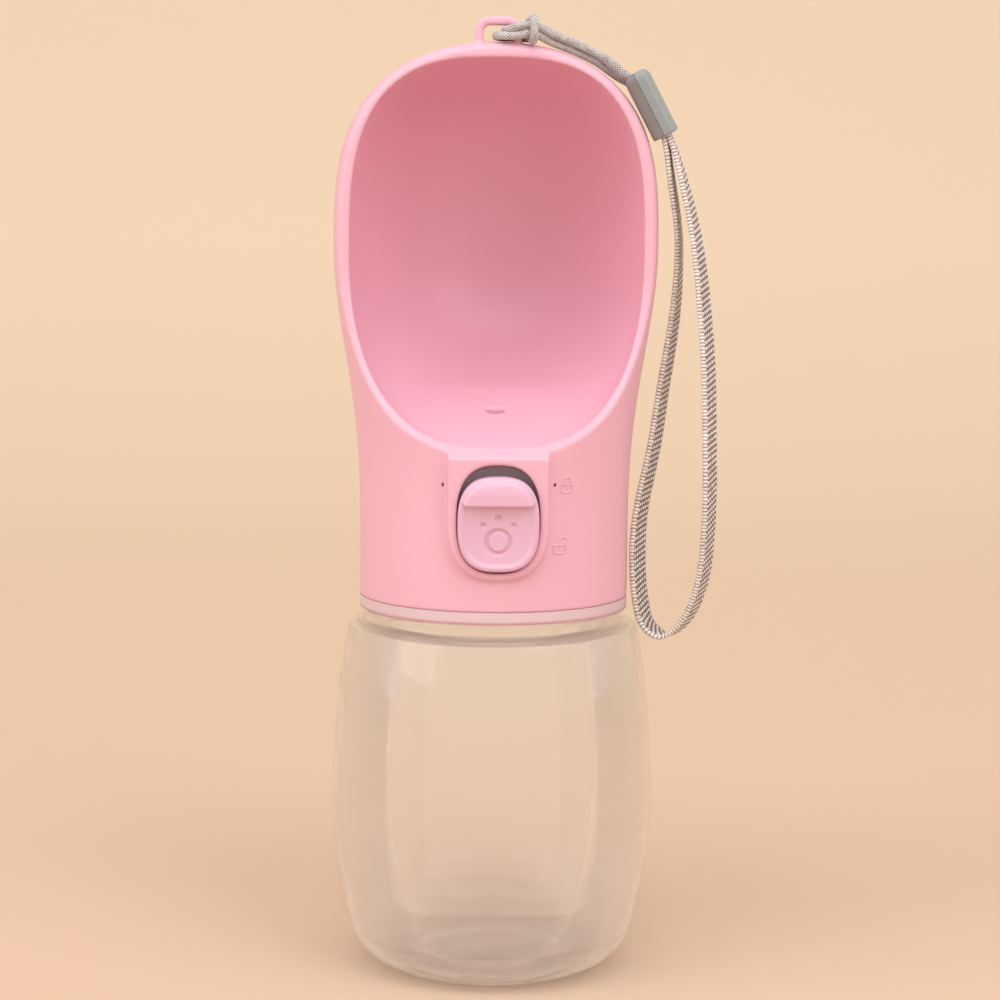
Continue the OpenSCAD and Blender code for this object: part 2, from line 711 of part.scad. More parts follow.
// Directions square to the route that turn as little as they can from point to point
function carried(p, i, u) = i == len(p) ? []
    : let (t = route_dir(p, i), v = unit(u - (u * t) * t)) concat([v], carried(p, i + 1, v));

// A round tube along a route
module tube(route, d, sides = 8) {
    side = carried(route, 0, [0, 1, 0]);
    skin([for (i = [0:len(route) - 1]) let (u = side[i], v = cross(route_dir(route, i), u))
        [for (k = [0:sides - 1]) let (a = -360 * k / sides)
            route[i] + d / 2 * (cos(a) * u + sin(a) * v)]]);
}

// A flat strap along a route, eight points round its edge
module strap(route, w, t) {
    path = [for (q = route) place(q)];
    edge = [[1, 0.5], [0.94, 1], [-0.94, 1], [-1, 0.5], [-1, -0.5], [-0.94, -1], [0.94, -1], [1, -0.5]];
    skin([for (i = [0:len(path) - 1]) let (
            d = route_dir(path, i), a = route[i][3], wide = [cos(a), sin(a), 0],
            u = unit(wide - (wide * d) * d), v = cross(d, u))
        [for (k = [7:-1:0]) path[i] + edge[k][0] * w / 2 * u + edge[k][1] * t / 2 * v]]);
}

module lanyard_cord() {
    color("darkgray") tube(cord_route, cord_d);
}

module webbing_loop() {
    color("darkgray") strap(webbing_route, webbing_w, webbing_t);
}

// The slider leans on the head's shoulder: its own +Z runs up along the cord. Its slot takes
// both ends of the webbing from below, and a notch in its back lets in the cord's strands
slider_mid = [33.5, -4, 193.5];
slider_tilt = 28;
slider_turn = 80;
slot_w = webbing_w + 2 * clear;
slot_d = 2 * webbing_t + 3 * clear;
slider_w = slot_w + 2 * slider_wall;
slider_d = slot_d + 2 * slider_wall;
slider_corner = 1.6;
notch_w = 2 * cord_d + 2.4;
notch_h = 3.6;
module slider_half(side) {
    half_d = slider_d / 2;
    half_l = slider_l / 2;
    translate(slider_mid) rotate([0, -slider_tilt, 0]) rotate([0, 0, slider_turn])
        difference() {
            intersection() {
                along_x(slider_w) polygon(concat([[-half_d, -half_l], [half_d, -half_l]],
                    arc_pts([half_d - slider_corner, half_l - slider_corner], slider_corner, 0, 90, 4),
                    arc_pts([slider_corner - half_d, half_l - slider_corner], slider_corner, 90, 180, 4)));
                translate([0, side * half_d, 0])
                    cube([slider_w + past, slider_d, slider_l + past], center = true);
            }
            cube([slot_w, slot_d, slider_l + 2 * past], center = true);
            translate([-notch_w / 2, 0, half_l - notch_h]) cube([notch_w, slider_d, slider_l]);
        }
}

module slider_front() {
    color("gray") slider_half(-1);
}

module slider_back() {
    color("dimgray") slider_half(1);
}

// ---------------------------------------------------------------- all pieces

bottle();
neck_gasket();
threaded_insert();
insert_screws();
head_shell();
outlet_gasket();
valve_body();
valve_screws();
inlet_gasket();
valve_plug();
plug_oring();
return_spring();
lock_plate();
plunger();
piston_oring();
valve_disc();
disc_screw();
button_cap();
lanyard_cord();
slider_front();
slider_back();
webbing_loop();
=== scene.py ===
"""The looks of a dog travel water bottle: a clear bottle, a pink head with a scoop cup, a thumb
button and a wrist lanyard. Lengths in this script are millimetres until a mesh is made, except
in the stage and the lamps and where a comment says metres."""
import math

import bpy
import numpy as np
from mathutils import Euler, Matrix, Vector


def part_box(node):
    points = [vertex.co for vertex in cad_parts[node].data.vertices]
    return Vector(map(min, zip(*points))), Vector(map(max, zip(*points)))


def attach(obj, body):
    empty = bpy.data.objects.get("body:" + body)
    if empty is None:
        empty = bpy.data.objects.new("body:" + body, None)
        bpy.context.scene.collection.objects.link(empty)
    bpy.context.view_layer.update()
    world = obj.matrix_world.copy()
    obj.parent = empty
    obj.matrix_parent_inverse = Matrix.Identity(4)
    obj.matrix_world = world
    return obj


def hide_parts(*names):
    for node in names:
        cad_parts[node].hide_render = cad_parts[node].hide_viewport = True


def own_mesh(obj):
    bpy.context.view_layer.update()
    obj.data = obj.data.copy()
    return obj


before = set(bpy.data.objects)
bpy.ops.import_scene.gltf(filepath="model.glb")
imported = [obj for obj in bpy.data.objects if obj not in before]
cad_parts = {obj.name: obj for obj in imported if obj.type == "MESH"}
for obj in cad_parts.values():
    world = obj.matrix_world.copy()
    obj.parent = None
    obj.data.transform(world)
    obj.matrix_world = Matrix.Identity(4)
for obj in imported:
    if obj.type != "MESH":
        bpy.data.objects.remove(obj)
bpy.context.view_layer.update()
MM = 0.001

# ---------------------------------------------------------------- camera

CAMERA_Y = -546.7
CAMERA_Z = 168.6
CAMERA_PITCH = 6.606       # degrees below the horizon
CAMERA_ROLL = 0.44         # the object leans a little to the right in the frame
CAMERA_SHIFT = 0.006
FOCAL = 88.15              # on a sensor 36 mm wide
CAMERA_TURN = -1.8         # bearing of the camera round the bottle's axis, in degrees


def make_camera():
    data = bpy.data.cameras.new("camera")
    data.sensor_width = 36
    data.lens = FOCAL
    data.shift_x = CAMERA_SHIFT
    data.clip_start = 0.01
    data.clip_end = 20
    camera = bpy.data.objects.new("camera", data)
    bpy.context.scene.collection.objects.link(camera)
    turn = Euler((0, 0, math.radians(CAMERA_TURN))).to_matrix()
    look = Euler((math.radians(90 - CAMERA_PITCH), 0, 0)).to_matrix()
    roll = Euler((0, 0, math.radians(CAMERA_ROLL))).to_matrix()
    camera.location = turn @ Vector((0, CAMERA_Y, CAMERA_Z)) * MM
    camera.rotation_euler = (turn @ look @ roll).to_euler()
    bpy.context.scene.camera = camera


make_camera()

# ---------------------------------------------------------------- meshes


def mesh_piece(name, points, faces, material):
    """A smooth-shaded mesh object from points in millimetres."""
    mesh = bpy.data.meshes.new(name)
    points = np.asarray(points, float) * MM
    faces = np.asarray(faces)
    mesh.vertices.add(len(points))
    mesh.vertices.foreach_set("co", points.astype(np.float32).ravel())
    sides = faces.shape[1]
    mesh.loops.add(faces.size)
    mesh.loops.foreach_set("vertex_index", faces.astype(np.int32).ravel())
    mesh.polygons.add(len(faces))
    mesh.polygons.foreach_set("loop_start", np.arange(0, faces.size, sides, dtype=np.int32))
    mesh.polygons.foreach_set("use_smooth", np.full(len(faces), True))
    mesh.update(calc_edges=True)
    mesh.validate()
    mesh.materials.append(material)
    piece = bpy.data.objects.new(name, mesh)
    bpy.context.scene.collection.objects.link(piece)
    return piece


def dress(piece, body, slot, *nodes):
    """The piece rides on a body and stands for CAD nodes. The slot is not used."""
    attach(piece, body)
    if nodes:
        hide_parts(*nodes)
    return piece


def revolve(profile, segments=192):
    """Points and quads of a closed outline of (radius, height) turned round the Z axis."""
    profile = np.asarray(profile, float)
    count = len(profile)
    angles = np.arange(segments) * 2 * np.pi / segments
    points = np.stack([
        np.outer(np.cos(angles), profile[:, 0]),
        np.outer(np.sin(angles), profile[:, 0]),
        np.tile(profile[:, 1], (segments, 1))], axis=-1).reshape(-1, 3)
    i, j = np.meshgrid(np.arange(segments), np.arange(count), indexing="ij")
    i2 = (i + 1) % segments
    j2 = (j + 1) % count
    quads = np.stack([i * count + j, i2 * count + j, i2 * count + j2, i * count + j2], axis=-1)
    return points, quads.reshape(-1, 4)


def rounded_max(a, b, radius):
    """Overlap of two solids, given as distances, with an edge of that radius."""
    return np.minimum(-radius, np.maximum(a, b)) + np.hypot(
        np.maximum(a + radius, 0), np.maximum(b + radius, 0))


def rounded_min(a, b, radius):
    """Union of two solids, given as distances, with a fillet of that radius."""
    return -rounded_max(-a, -b, radius)


def gradient(field, points, reach=0.02):
    """How a field changes along X, Y and Z at each point."""
    steps = np.eye(3) * reach
    return np.stack([(field(points + s) - field(points - s)) / (2 * reach) for s in steps], axis=1)


COARSE = 4


def sampled(field, low, counts, step):
    """The field on a grid. Far from its surface each value is its nearest coarse point's."""
    axes = [low[k] + step * np.arange(counts[k] + 1) for k in range(3)]
    rough = np.stack(np.meshgrid(*[a[::COARSE] for a in axes], indexing="ij"), axis=-1)
    rough_values = field(rough.reshape(-1, 3)).reshape(rough.shape[:3])
    nearest = [np.minimum((np.arange(counts[k] + 1) + COARSE // 2) // COARSE, counts[k] // COARSE)
               for k in range(3)]
    values = rough_values[np.ix_(*nearest)]
    near = np.argwhere(np.abs(values) < 2.2 * COARSE * step)
    points = np.stack([axes[k][near[:, k]] for k in range(3)], axis=1)
    values[near[:, 0], near[:, 1], near[:, 2]] = field(points)
    return values


def isosurface(field, low, high, step, rounds=3):
    """Points and quads of the surface where the field is 0, negative inside."""
    low = np.asarray(low, float)
    counts = np.ceil((np.asarray(high, float) - low) / (step * COARSE)).astype(int) * COARSE
    values = sampled(field, low, counts, step)
    inside = values < 0
    corners = [(a, b, c) for a in (0, 1) for b in (0, 1) for c in (0, 1)]

    def shifted(array, corner):
        return array[tuple(slice(c, array.shape[k] - 1 + c) for k, c in enumerate(corner))]

    total = sum(shifted(inside, c).astype(np.int8) for c in corners)
    cells = np.argwhere((total > 0) & (total < 8))
    number = np.full(total.shape, -1, np.int64)
    number[tuple(cells.T)] = np.arange(len(cells))
    at = {c: values[tuple((cells + c).T)] for c in corners}
    summed = np.zeros((len(cells), 3))
    crossings = np.zeros(len(cells))
    for a in corners:
        for axis in range(3):
            if a[axis]:
                continue
            b = tuple(v + (k == axis) for k, v in enumerate(a))
            cut = (at[a] < 0) != (at[b] < 0)
            share = at[a][cut] / (at[a][cut] - at[b][cut])
            spot = np.tile(np.array(a, float), (cut.sum(), 1))
            spot[:, axis] += share
            summed[cut] += spot
            crossings[cut] += 1
    points = low + step * (cells + summed / crossings[:, None])
    quads = []
    for axis in range(3):
        u, v = (axis + 1) % 3, (axis + 2) % 3
        head = [slice(None)] * 3
        tail = [slice(None)] * 3
        head[axis], tail[axis] = slice(0, -1), slice(1, None)
        crossed = np.argwhere(inside[tuple(head)] != inside[tuple(tail)])
        crossed = crossed[(crossed[:, u] > 0) & (crossed[:, v] > 0)
                          & (crossed[:, u] < counts[u]) & (crossed[:, v] < counts[v])]
        around = []
        for du, dv in ((-1, -1), (0, -1), (0, 0), (-1, 0)):
            cell = crossed.copy()
            cell[:, u] += du
            cell[:, v] += dv
            around.append(number[tuple(cell.T)])
        ring = np.stack(around, axis=1)
        backwards = ~inside[tuple(crossed.T)]
        ring[backwards] = ring[backwards][:, ::-1]
        quads.append(ring)
    quads = np.concatenate(quads)
    for turn in range(rounds):
        points = relaxed(points, quads) if turn < rounds - 1 else points
        for _ in range(2):
            slope = gradient(field, points)
            move = -field(points)[:, None] * slope / np.maximum((slope ** 2).sum(1), 1e-6)[:, None]
            size = np.linalg.norm(move, axis=1, keepdims=True)
            points = points + move * np.minimum(1, 0.5 * step / np.maximum(size, 1e-9))
    return points, quads


def relaxed(points, quads):
    """Each point moved half way to the mean of its neighbours."""
    total = np.zeros_like(points)
    count = np.zeros(len(points))
    for k in range(4):
        a, b = quads[:, k], quads[:, (k + 1) % 4]
        for first, second in ((a, b), (b, a)):
            for axis in range(3):
                total[:, axis] += np.bincount(first, points[second, axis], len(points))
            count += np.bincount(first, minlength=len(points))
    return 0.5 * points + 0.5 * total / np.maximum(count, 1)[:, None]


# ---------------------------------------------------------------- materials


class Nodes:
    """Short names for building a material's node tree."""

    def __init__(self, name):
        self.material = bpy.data.materials.new(name)
        self.material.use_nodes = True
        self.tree = self.material.node_tree
        self.shader = self.tree.nodes["Principled BSDF"]
        self.place = self.add("ShaderNodeTexCoord").outputs["Object"]

    def add(self, kind, **values):
        node = self.tree.nodes.new(kind)
        for key, value in values.items():
            setattr(node, key, value)
        return node

    def put(self, target, value):
        if isinstance(value, bpy.types.NodeSocket):
            self.tree.links.new(value, target)
        else:
            target.default_value = value

    def noise(self, scale, detail=3, roughness=0.5):
        node = self.add("ShaderNodeTexNoise")
        self.put(node.inputs["Vector"], self.place)
        node.inputs["Scale"].default_value = scale
        node.inputs["Detail"].default_value = detail
        node.inputs["Roughness"].default_value = roughness
        return node.outputs["Fac"]

    def ramp(self, value, low, high, to_low, to_high):
        node = self.add("ShaderNodeMapRange")
        self.put(node.inputs["Value"], value)
        for key, number in zip(("From Min", "From Max", "To Min", "To Max"),
                               (low, high, to_low, to_high)):
            self.put(node.inputs[key], number)
        return node.outputs["Result"]

    def mix(self, share, first, second):
        node = self.add("ShaderNodeMix", data_type="RGBA")
        self.put(node.inputs[0], share)
        self.put(node.inputs[6], first)
        self.put(node.inputs[7], second)
        return node.outputs[2]

    def math(self, operation, first, second=0.0):
        node = self.add("ShaderNodeMath", operation=operation)
        self.put(node.inputs[0], first)
        self.put(node.inputs[1], second)
        return node.outputs[0]

    def bump(self, height, distance):
        node = self.add("ShaderNodeBump")
        self.put(node.inputs["Height"], height)
        node.inputs["Distance"].default_value = distance
        self.put(self.shader.inputs["Normal"], node.outputs["Normal"])

    def set(self, **values):
        for key, value in values.items():
            self.put(self.shader.inputs[key.replace("_", " ")], value)
        return self


def linear(red, green, blue):
    """A colour given as 0 to 255 sRGB, in the linear values that shaders use."""
    def one(v):
        v /= 255
        return v / 12.92 if v <= 0.04045 else ((v + 0.055) / 1.055) ** 2.4
    return (one(red), one(green), one(blue), 1.0)


def shade(colour, factor):
    return tuple(min(1.0, c * factor) for c in colour[:3]) + (1.0,)


PLASTIC_IOR = 1.46


def moulded_plastic(name, colour, roughness, texture=0.006, scatter=0.0):
    """Injection-moulded plastic: a faint drift of tone, a fine spark texture and rub marks."""
    n = Nodes(name)
    drift = n.noise(38, 2)
    n.set(Base_Color=n.mix(drift, shade(colour, 0.985), shade(colour, 1.015)))
    rubbed = n.ramp(n.noise(260, 4, 0.6), 0.45, 0.75, roughness, roughness + 0.08)
    n.set(Roughness=rubbed, IOR=PLASTIC_IOR)
    n.set(Subsurface_Weight=scatter, Subsurface_Scale=0.002, Subsurface_Radius=(1.0, 0.45, 0.4))
    n.bump(n.noise(4200, 2), texture * MM)
    return n.material


PINK = linear(229, 174, 191)
pink_plastic = moulded_plastic("pink plastic", PINK, 0.36, scatter=0.08)
button_plastic = moulded_plastic("button plastic", linear(219, 173, 194), 0.3)
grey_plastic = moulded_plastic("grey plastic", linear(140, 126, 132), 0.42)
white_plastic = moulded_plastic("white plastic", linear(240, 237, 232), 0.4)
silicone = moulded_plastic("silicone", linear(238, 226, 222), 0.5, texture=0.01, scatter=0.15)
rubber = moulded_plastic("seal rubber", linear(52, 50, 50), 0.6, texture=0.012)


PAINTED_REFLECTION_TOP_Z = 0.0822     # height in metres where the flange's lower edge, painted darker pink as a reflection of the pink skirt, ends


def insert_material():
    """Frosted, slightly pink plastic that lets some light through."""
    n = Nodes("insert plastic")
    cloud = n.noise(55, 3)
    place = n.add("ShaderNodeSeparateXYZ")
    n.put(place.inputs["Vector"], n.place)
    # Below that height the flange is painted darker pink: a painted reflection of the pink skirt
    # under it.
    above_painted_reflection = n.ramp(place.outputs["Z"], PAINTED_REFLECTION_TOP_Z - 0.0003, PAINTED_REFLECTION_TOP_Z + 0.0003, 0, 1)
    body = n.mix(cloud, linear(246, 216, 222), linear(250, 224, 228))
    n.set(Base_Color=n.mix(above_painted_reflection, linear(224, 156, 165), body),
          Roughness=n.ramp(n.noise(300, 3), 0.4, 0.7, 0.3, 0.4), IOR=PLASTIC_IOR,
          Transmission_Weight=0.35)
    n.bump(n.noise(2500, 2), 0.01 * MM)
    return n.material


def steel():
    """Plated screw and spring steel with fine drawn lines."""
    n = Nodes("screw steel")
    n.set(Base_Color=n.mix(n.noise(900, 3), linear(176, 174, 170), linear(206, 204, 200)),
          Metallic=1.0, Roughness=n.ramp(n.noise(2200, 3), 0.3, 0.7, 0.24, 0.4))
    n.bump(n.noise(3000, 2), 0.006 * MM)
    return n.material


insert_plastic = insert_material()
screw_steel = steel()


def clear_plastic():
    """Clear plastic with a little haze. Its alpha lets part of the light straight through,
    so that its shadow isn't dark."""
    n = Nodes("clear plastic")
    haze = n.ramp(n.noise(90, 4), 0.4, 0.8, 0.015, 0.05)
    n.set(Base_Color=(0.95, 0.975, 1.0, 1.0), Roughness=haze, IOR=PLASTIC_IOR,
          Transmission_Weight=0.955, Alpha=0.56)
    n.bump(n.noise(60, 2), 0.012 * MM)
    return n.material


clear = clear_plastic()

# ---------------------------------------------------------------- lanyard

# The route's points are part.scad's, in millimetres: out of the slider, through the lug,
# round its leg and the two strands, back through the lug and down to the slider
CORD_ROUTE = [
    (30.8, -5.2, 197.9), (28.6, -5.2, 199.1), (26, -5.3, 201.1), (22, -5.6, 203.9),
    (18, -6.2, 205.7), (14, -7.2, 207.2), (10.4, -8.2, 208.7), (7.4, -8.7, 209.7),
    (4.6, -8.8, 209.6), (2.6, -8.6, 209), (1.6, -7.4, 208.8), (1.4, -5.8, 208.7),
    (2, -3.9, 208.8), (3.6, -3.1, 209.3), (5.6, -3.6, 210.1), (6.9, -5.4, 211),
    (7.4, -7.6, 211.5), (7.6, -9.6, 210.9), (7.6, -10.6, 209.2), (7.6, -10.3, 207.4),
    (7.5, -9, 206.5), (7.2, -7, 206.8), (6.6, -4.9, 207.2), (5, -3.3, 207.4),
    (3.2, -2.9, 207.5), (1.2, -3, 207.5), (-0.2, -4.2, 207.6), (-0.5, -6, 207.6),
    (0, -7.8, 207.6), (1.6, -8.7, 207.5), (4.2, -8.8, 207.6), (7.4, -8.7, 208),
    (10.4, -7.4, 206.8), (14, -6, 205.5), (18, -4.9, 204), (22, -3.9, 202.1),
    (25.9, -3, 199.5), (28.3, -2.9, 198.2), (30.6, -2.9, 197.3),
]
CORD_D = 1.75
# The webbing's points, each with the direction of its width in degrees from +X
WEBBING_ROUTE = [
    (35.2, -4, 189.1, 80), (36.5, -4, 186.6, 80), (38, -3.7, 180, 78), (39.4, -3, 172, 76),
    (40.4, -2.2, 165, 76), (40.6, -1.6, 158, 74), (40.2, -1.4, 150, 70), (39, -1.6, 140, 66),
    (37.4, -2.1, 130, 64), (35.8, -2.8, 119, 62), (34, -3.3, 110, 60), (32.6, -3.6, 102, 58),
    (32.2, -3.7, 95, 56), (32.4, -3.9, 88, 56), (33.2, -4.1, 82, 56), (35, -4.5, 77.4, 58),
    (38, -5, 75.6, 60), (41.4, -5.4, 77.2, 60), (44.4, -6, 81.6, 60), (46.2, -6.8, 87, 60),
    (47.2, -8, 95, 60), (47.5, -9.2, 104, 60), (47.4, -9.8, 114, 60), (47.2, -9.2, 124, 60),
    (46.9, -8.8, 134, 60), (46, -8.2, 146, 60), (45, -7.4, 156, 62), (43.4, -6.4, 166.5, 66),
    (41.8, -5.6, 173.5, 70), (40, -4.8, 180.4, 76), (37.5, -4.1, 187.1, 80),
    (36.1, -4.1, 189.7, 80),
]
WEBBING_W = 6.5
WEBBING_T = 1.1


def smooth_route(route, spacing):
    """Points an equal way apart on one smooth curve through the route's points, in columns
    that are as many as the route's."""
    route = np.asarray(route, float)
    knots = np.concatenate([[0], np.cumsum(np.linalg.norm(np.diff(route[:, :3], axis=0), axis=1))])
    gaps = np.diff(knots)
    count = len(route)
    system = np.eye(count)
    right = np.zeros_like(route)
    for i in range(1, count - 1):
        system[i, i - 1:i + 2] = gaps[i - 1], 2 * (gaps[i - 1] + gaps[i]), gaps[i]
        right[i] = 6 * ((route[i + 1] - route[i]) / gaps[i]
                        - (route[i] - route[i - 1]) / gaps[i - 1])
    bend = np.linalg.solve(system, right)

    def at(place):
        i = np.clip(np.searchsorted(knots, place, side="right") - 1, 0, count - 2)
        h = gaps[i][:, None]
        a = (knots[i + 1] - place)[:, None] / h
        b = 1 - a
        return (a * route[i] + b * route[i + 1]
                + ((a ** 3 - a) * bend[i] + (b ** 3 - b) * bend[i + 1]) * h ** 2 / 6)
    fine = np.linspace(0, knots[-1], 40 * count)
    run = np.concatenate([[0], np.cumsum(np.linalg.norm(np.diff(at(fine)[:, :3], axis=0), axis=1))])
    steps = int(round(run[-1] / spacing))
    return at(np.interp(np.linspace(0, run[-1], steps + 1), run, fine)), run[-1]


def directions(points):
    along = np.gradient(points, axis=0)
    return along / np.linalg.norm(along, axis=1, keepdims=True)


def carried(along, start):
    """Directions square to the route that turn as little as they can from point to point."""
    sides = [np.asarray(start, float)]
    for step in along:
        side = sides[-1] - (sides[-1] @ step) * step
        sides.append(side / np.linalg.norm(side))
    return np.array(sides[1:])


def woven_cell(first, second):
    """Height of two crossing families of strands, of which one strand or the other lies on
    top in turn. It also sets how strongly the gaps between them show as painted shade and
    the crowns as a painted highlight."""
    a = first - np.floor(first) - 0.5
    b = second - np.floor(second) - 0.5
    swap = (np.floor(first) + np.floor(second)) % 2 == 1
    a, b = np.where(swap, b, a), np.where(swap, a, b)
    return (1 - (2 * a) ** 2) * (0.45 + 0.55 * np.cos(np.pi * b))


def swept(name, centre, offsets, height, shown, material):
    """A closed skin of rings round centre. The offsets are each ring's points, pushed
    outwards by height, and shown is a value per point that the material reads."""
    rings, sides = offsets.shape[:2]
    points = (centre[:, None] + offsets + height).reshape(-1, 3)
    i, j = np.meshgrid(np.arange(rings - 1), np.arange(sides), indexing="ij")
    k = (j + 1) % sides
    quads = np.stack([i * sides + j, i * sides + k, (i + 1) * sides + k, (i + 1) * sides + j],
                     axis=-1).reshape(-1, 4)
    piece = mesh_piece(name, points, quads, material)
    layer = piece.data.attributes.new("weave", "FLOAT_COLOR", "POINT")
    shown = np.repeat(shown.reshape(-1, 1), 4, axis=1)
    shown[:, 3] = 1
    layer.data.foreach_set("color", shown.astype(np.float32).ravel())
    return piece


def textile(name, gap_shade, crown_and_highlight, roughness, shows=(0.1, 0.85)):
    """Woven yarn: painted shade between the strands, a painted highlight on their crowns, and a
    little shine.
    """
    n = Nodes(name)
    weave = n.add("ShaderNodeAttribute", attribute_name="weave").outputs["Fac"]
    uneven = n.ramp(n.noise(700, 2), 0.3, 0.7, -0.12, 0.12)
    share = n.ramp(n.math("ADD", weave, uneven), *shows, 0, 1)
    # The mix paints shade between the strands and a highlight on their crowns.
    n.set(Base_Color=n.mix(share, gap_shade, crown_and_highlight), Roughness=roughness, Sheen_Weight=0.2,
          Sheen_Roughness=0.5)
    n.bump(n.noise(5200, 2), 0.02 * MM)
    return n.material


CORD_SPACING = 0.13
BRAID_STRANDS = 8          # that lie one way round the cord, and as many the other way
BRAID_CELL = 0.72          # length of a crossing along the cord


def make_cord():
    """The cord that hangs the loop on the lug, as a braid of sixteen strands."""
    centre, length = smooth_route(CORD_ROUTE, CORD_SPACING)
    along = directions(centre)
    side = carried(along, (0, 1, 0))
    up = np.cross(along, side)
    angle = np.arange(40) * 2 * np.pi / 40
    out = np.cos(angle)[None, :, None] * side[:, None] + np.sin(angle)[None, :, None] * up[:, None]
    run = np.arange(len(centre))[:, None] * CORD_SPACING / BRAID_CELL
    turn = BRAID_STRANDS * angle[None] / (2 * np.pi)
    crown_and_highlight = woven_cell(turn + run, turn - run)
    bump = 0.11 * (crown_and_highlight - 0.6)
    # The braid's brown gap colour is painted shade and its pale crown colour a painted highlight.
    piece = swept("cord_braid", centre, CORD_D / 2 * out, bump[..., None] * out, crown_and_highlight,
                  textile("braided cord", linear(96, 80, 78), linear(214, 210, 210), 0.6))
    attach(piece, "head")
    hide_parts("lanyard_cord")


def make_webbing():
    """The wrist loop, a flat strap with round edges that follows its route's directions."""
    spacing = 0.15
    route, length = smooth_route(WEBBING_ROUTE, spacing)
    centre = route[:, :3]
    along = directions(centre)
    turned = np.radians(route[:, 3])
    wide = np.stack([np.cos(turned), np.sin(turned), 0 * turned], axis=1)
    wide -= (wide * along).sum(1, keepdims=True) * along
    wide /= np.linalg.norm(wide, axis=1, keepdims=True)
    thick = np.cross(along, wide)
    flat = WEBBING_W / 2 - WEBBING_T / 2
    across = np.linspace(-1, 1, 45)[:-1]
    corner = np.linspace(-90, 90, 7)[:-1]
    face = across * flat
    edge_x = flat + WEBBING_T / 2 * np.cos(np.radians(corner))
    edge_y = WEBBING_T / 2 * np.sin(np.radians(corner))
    u = np.concatenate([face, edge_x, -face, -edge_x])
    v = np.concatenate([0 * face - WEBBING_T / 2, edge_y, 0 * face + WEBBING_T / 2, -edge_y])
    normal_u = np.concatenate([0 * face, np.cos(np.radians(corner)), 0 * face,
                               -np.cos(np.radians(corner))])
    normal_v = np.concatenate([0 * face - 1, np.sin(np.radians(corner)), 0 * face + 1,
                               -np.sin(np.radians(corner))])
    run = np.arange(len(centre))[:, None] * spacing
    crown_and_highlight = webbing_crown(u[None], v[None], run)
    bump = 0.22 * (crown_and_highlight - 0.65)
    offsets = u[None, :, None] * wide[:, None] + v[None, :, None] * thick[:, None]
    out = normal_u[None, :, None] * wide[:, None] + normal_v[None, :, None] * thick[:, None]
    # The webbing's brown gap colour is painted shade and its near-white crown colour a painted
    # highlight.
    piece = swept("webbing_weave", centre, offsets, bump[..., None] * out, crown_and_highlight,
                  textile("woven webbing", linear(98, 76, 70), linear(236, 228, 220), 0.4,
                          shows=(0.3, 0.97)))
    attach(piece, "head")
    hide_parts("webbing_loop")


RIB = 1.28                 # length of a weft rib along the webbing
COLUMN = 1.0               # width of a column of stitches
BORDER = 2.35              # where the plain columns end and the border cord begins


def webbing_crown(u, v, run):
    """Stitches of the webbing: five columns, each a step behind the last, between two beaded
    borders that a sunk line sets off. Where the value is low the material paints shade, and
    where it is high a highlight."""
    column = np.floor(u / COLUMN + 0.5)
    inside = np.abs(u) < BORDER
    x = u / COLUMN + 0.5 - column - 0.5
    step = run / RIB + 0.22 * column * np.sign(v)
    y = step - np.floor(step) - 0.5
    stitch = np.clip(1 - (2 * x) ** 4, 0, 1) * np.cos(np.pi * y)
    beads = 0.35 + 0.65 * np.abs(np.cos(np.pi * run / (0.6 * RIB))) * np.ones_like(u)
    sunk = np.clip((np.abs(u) - BORDER) / 0.22, 0, 1)
    return np.where(inside, stitch, beads * sunk)


make_cord()
make_webbing()

# ---------------------------------------------------------------- slider

SLIDER_MID = (33.5, -4.0, 193.5)
SLIDER_TILT = 28.0
SLIDER_TURN = 80.0
SLOT_W = WEBBING_W + 0.6
SLOT_D = 2 * WEBBING_T + 0.9
SLIDER_W = SLOT_W + 2.4
SLIDER_D = SLOT_D + 2.4
SLIDER_L = 15.6


def slider_field(side):
    """One half of the slider: -1 is its front, 1 its back."""
    def field(points):
        x, y, z = points.T
        across = rounded_max(np.abs(x) - SLIDER_W / 2, np.abs(y) - SLIDER_D / 2, 1.3)
        if side < 0:
            across = np.where(y > -0.18, across - 0.1, across)
        top = rounded_max(across, z - SLIDER_L / 2, 2.2)
        solid = rounded_max(top, -SLIDER_L / 2 - z, 0.4)
        solid = rounded_max(solid, -side * y, 0.05)
        slot = np.maximum(np.abs(x) - SLOT_W / 2, np.abs(y) - SLOT_D / 2)
        solid = rounded_max(solid, -slot, 0.3)
        notch = np.maximum(np.maximum(np.abs(x) - 2.7, SLIDER_L / 2 - 3.6 - z), -y)
        return rounded_max(solid, -notch, 0.3)
    return field


def make_slider():
    tilt = Euler((0, math.radians(-SLIDER_TILT), 0)).to_matrix()
    turn = Euler((0, 0, math.radians(SLIDER_TURN))).to_matrix()
    frame_of = np.array(tilt @ turn)
    step = 0.16
    # The two halves are lit and shaded copies: the back half's darker, browner colour is painted
    # shade on the side turned from the light.
    halves = (("slider_front_skin", -1, "slider_front", "slider_plastic", linear(143, 149, 149)),
              ("slider_back_skin", 1, "slider_back", "slider_plastic_dark", linear(126, 119, 118)))
    for name, side, node, slot, colour in halves:
        points, quads = isosurface(slider_field(side), (-5.4, -3.4, -8.2), (5.4, 3.4, 8.2), step)
        plastic = moulded_plastic(node.replace("_", " ") + " plastic", colour, 0.4, texture=0.004)
        piece = mesh_piece(name, points @ frame_of.T + SLIDER_MID, quads, plastic)
        dress(piece, "head", slot, node)


make_slider()

# ---------------------------------------------------------------- head shell

